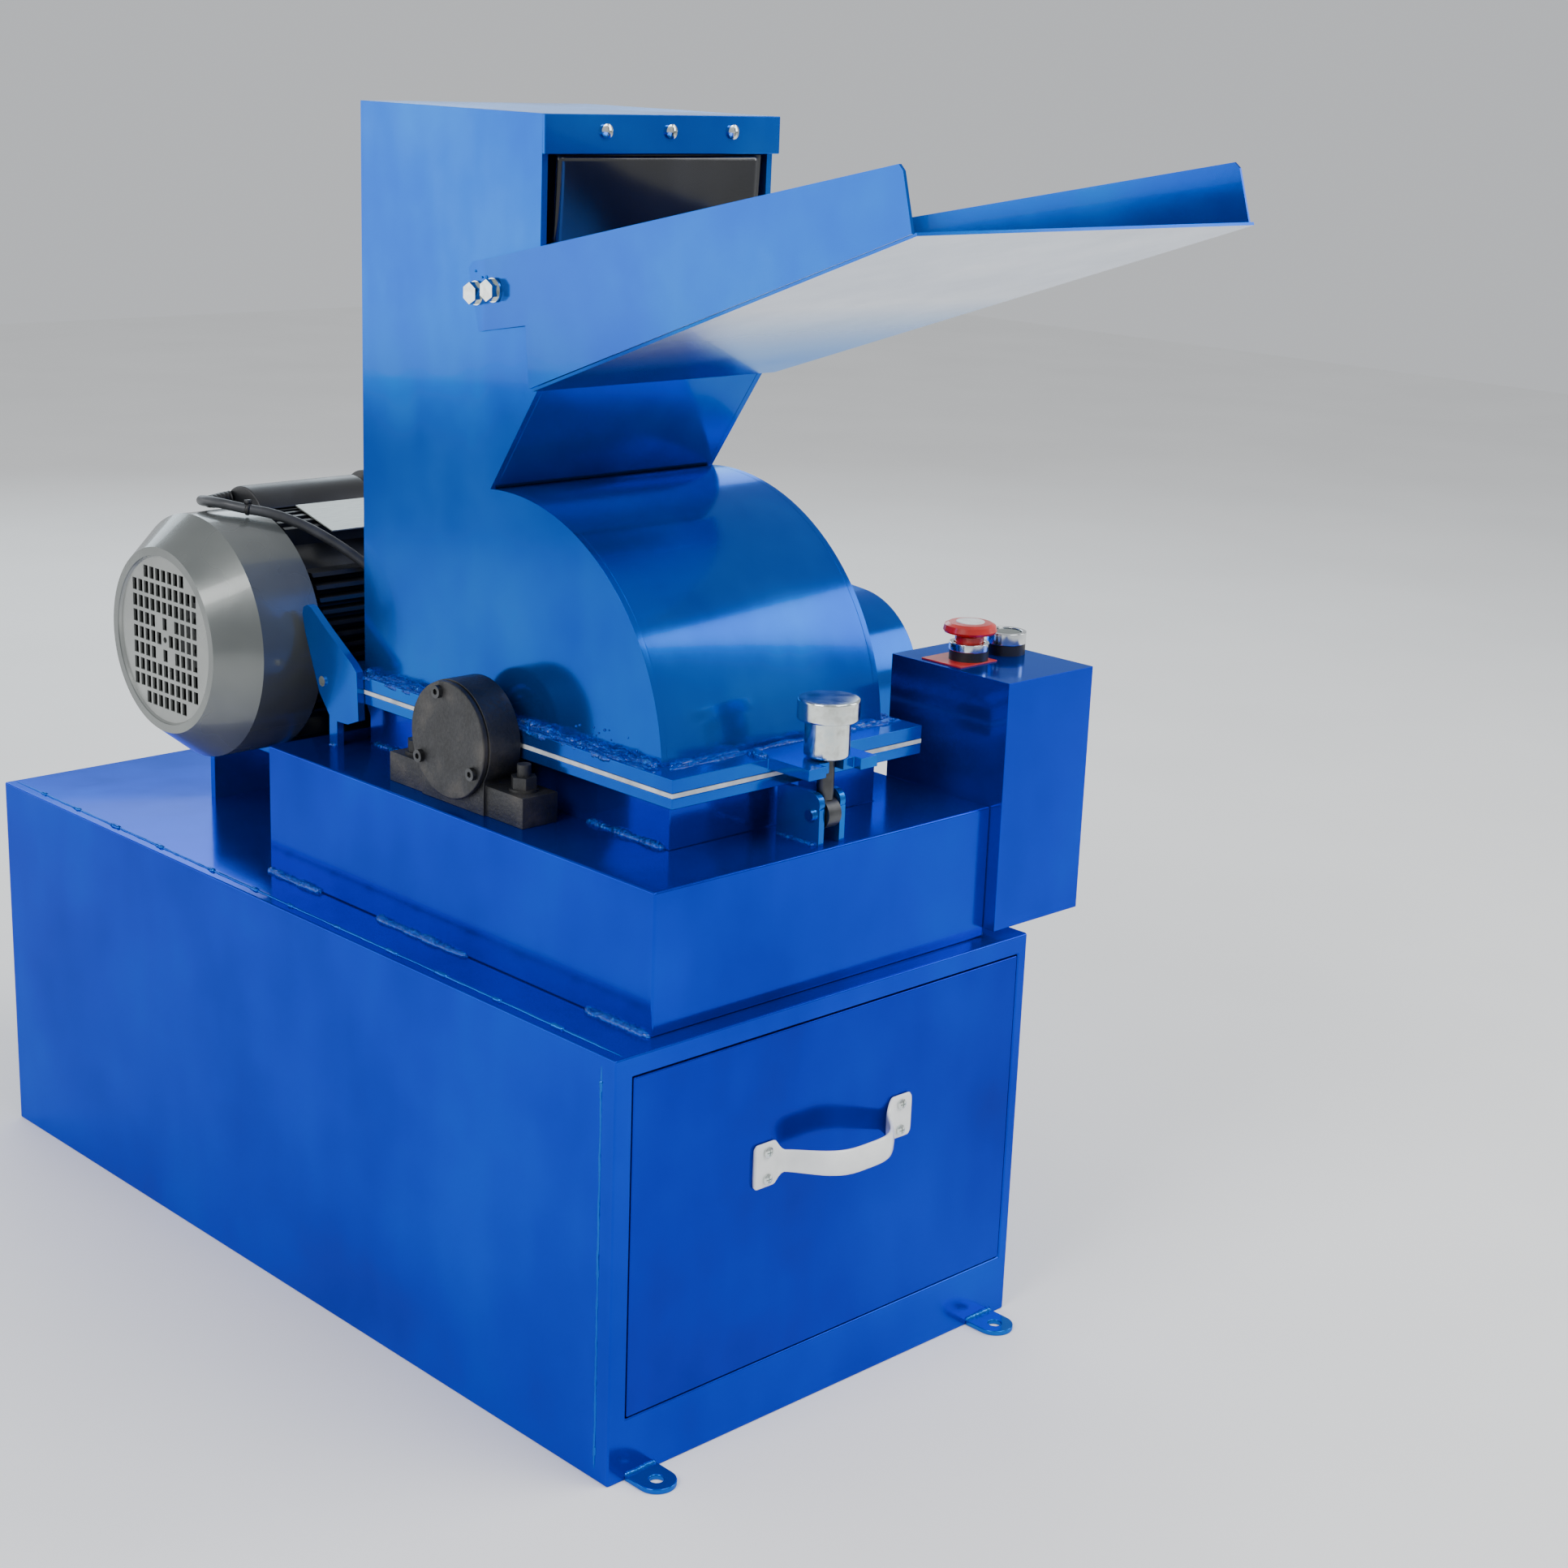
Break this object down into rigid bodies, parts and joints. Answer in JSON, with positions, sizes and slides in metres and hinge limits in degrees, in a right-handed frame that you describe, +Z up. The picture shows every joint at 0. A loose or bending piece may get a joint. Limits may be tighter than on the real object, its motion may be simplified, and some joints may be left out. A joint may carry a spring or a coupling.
{
  "type": "hammer mill",
  "caption": "Belt-driven hammer mill on a cabinet base with a collecting drawer, hinged casing, tower with a rubber curtain, flared feed tray, side control box and rear motor.",
  "frame": {"origin": "on the floor, in the middle of the four anchor holes", "axes": "+X to the right of someone facing the drawer, +Y back towards the motor, +Z up"},
  "size_m": [0.4639, 1.0057, 0.884],
  "materials": {
    "blue_enamel": "gloss",
    "zinc": "satin",
    "black_casting": "satin",
    "grey_enamel": "gloss",
    "black_enamel": "satin",
    "dark_steel": "satin",
    "gasket_strip": "matt",
    "black_rubber": "gloss",
    "black_plastic": "matt",
    "red_plastic": "gloss",
    "green_plastic": "gloss",
    "white_handle": "gloss",
    "nameplate": "satin"
  },
  "bodies": {
    "frame": {"base_cabinet": "blue_enamel", "anchor_feet": "blue_enamel", "drawer_runners": "dark_steel", "pedestal": "blue_enamel", "lower_housing": "blue_enamel", "lower_flange": "blue_enamel", "flange_gasket": "gasket_strip", "screen": "dark_steel", "bearing_housings": "black_casting", "bearing_caps": "black_casting", "bearing_rings": "zinc", "bearing_screws": "black_casting", "bearing_bolts": "black_casting", "clamp_clevis": "blue_enamel", "pivot_pins": "zinc", "hinge_brackets": "blue_enamel", "motor_mount": "blue_enamel", "motor_body": "black_enamel", "motor_end_shields": "black_enamel", "fan_cover": "grey_enamel", "capacitor_covers": "black_enamel", "terminal_box": "black_enamel", "nameplate": "nameplate", "motor_bolts": "zinc", "guard_back_plate": "blue_enamel", "belt_guard": "blue_enamel", "drive_belts": "black_rubber", "control_box": "blue_enamel", "control_box_cover": "blue_enamel", "button_rings": "black_plastic", "button_collars": "zinc", "legend_plate": "red_plastic", "switchgear": "black_plastic", "cable_glands": "black_plastic", "motor_cable": "black_rubber"},
    "drawer": {"drawer_box": "blue_enamel", "drawer_front": "blue_enamel", "drawer_handle": "white_handle", "handle_screws": "zinc"},
    "casing": {"casing_sides": "blue_enamel", "casing_scroll": "blue_enamel", "casing_back": "blue_enamel", "upper_flange": "blue_enamel", "curtain_strip": "blue_enamel", "strip_screws": "zinc", "feed_tray": "blue_enamel", "tray_bolts": "zinc"},
    "rotor": {"rotor_shaft": "dark_steel", "rotor_discs": "dark_steel", "driven_pulley": "dark_steel"},
    "curtain": {"feed_curtain": "black_rubber"},
    "hammer_row_1": {"hammers_1": "dark_steel"},
    "hammer_row_2": {"hammers_2": "dark_steel"},
    "hammer_row_3": {"hammers_3": "dark_steel"},
    "hammer_row_4": {"hammers_4": "dark_steel"},
    "motor_rotor": {"motor_rotor": "dark_steel"},
    "eye_bolt": {"eye_bolt": "dark_steel"},
    "clamp_nut": {"clamp_nut": "zinc"},
    "estop": {"estop_button": "red_plastic"},
    "start": {"start_button": "green_plastic"}
  },
  "joints": [
    {"name": "drawer_slide", "type": "slide", "parent": "frame", "child": "drawer", "axis": [0, -1, 0], "range_m": [0, 0.4]},
    {"name": "casing_hinge", "type": "hinge", "parent": "frame", "child": "casing", "pos_m": [0.01, 0.0455, 0.455], "axis": [-1, 0, 0], "range_deg": [0, 45]},
    {"name": "curtain_swing", "type": "hinge", "parent": "casing", "child": "curtain", "pos_m": [0.01, -0.1862, 0.856], "axis": [1, 0, 0], "range_deg": [-10, 60]},
    {"name": "rotor_spin", "type": "hinge", "parent": "frame", "child": "rotor", "pos_m": [0.01, -0.148, 0.455], "axis": [1, 0, 0], "continuous": true},
    {"name": "motor_spin", "type": "hinge", "parent": "frame", "child": "motor_rotor", "pos_m": [0.01, 0.171, 0.471], "axis": [1, 0, 0], "continuous": true},
    {"name": "hammer_swing_1", "type": "hinge", "parent": "rotor", "child": "hammer_row_1", "pos_m": [0.01, -0.09426, 0.50874], "axis": [1, 0, 0], "range_deg": [-12, 280]},
    {"name": "hammer_swing_2", "type": "hinge", "parent": "rotor", "child": "hammer_row_2", "pos_m": [0.01, -0.20174, 0.50874], "axis": [1, 0, 0], "range_deg": [-280, 12]},
    {"name": "hammer_swing_3", "type": "hinge", "parent": "rotor", "child": "hammer_row_3", "pos_m": [0.01, -0.20174, 0.40126], "axis": [1, 0, 0], "range_deg": [-195, 104]},
    {"name": "hammer_swing_4", "type": "hinge", "parent": "rotor", "child": "hammer_row_4", "pos_m": [0.01, -0.09426, 0.40126], "axis": [1, 0, 0], "range_deg": [-104, 195]},
    {"name": "eye_bolt_swing", "type": "hinge", "parent": "frame", "child": "eye_bolt", "pos_m": [0.01, -0.37, 0.428], "axis": [1, 0, 0], "range_deg": [0, 110]},
    {"name": "clamp_nut_turn", "type": "hinge", "parent": "eye_bolt", "child": "clamp_nut", "pos_m": [0.01, -0.37, 0.49], "axis": [0, 0, 1], "continuous": true},
    {"name": "estop_press", "type": "slide", "parent": "frame", "child": "estop", "axis": [0, 0, -1], "range_m": [0, 0.004], "stiffness_N_per_m": 500, "springref_m": -0.003},
    {"name": "start_press", "type": "slide", "parent": "frame", "child": "start", "axis": [0, 0, -1], "range_m": [0, 0.0035], "stiffness_N_per_m": 400, "springref_m": -0.003}
  ],
  "couplings": [
    {"joint": "motor_spin", "follows": "rotor_spin", "ratio": 0.84615}
  ]
}
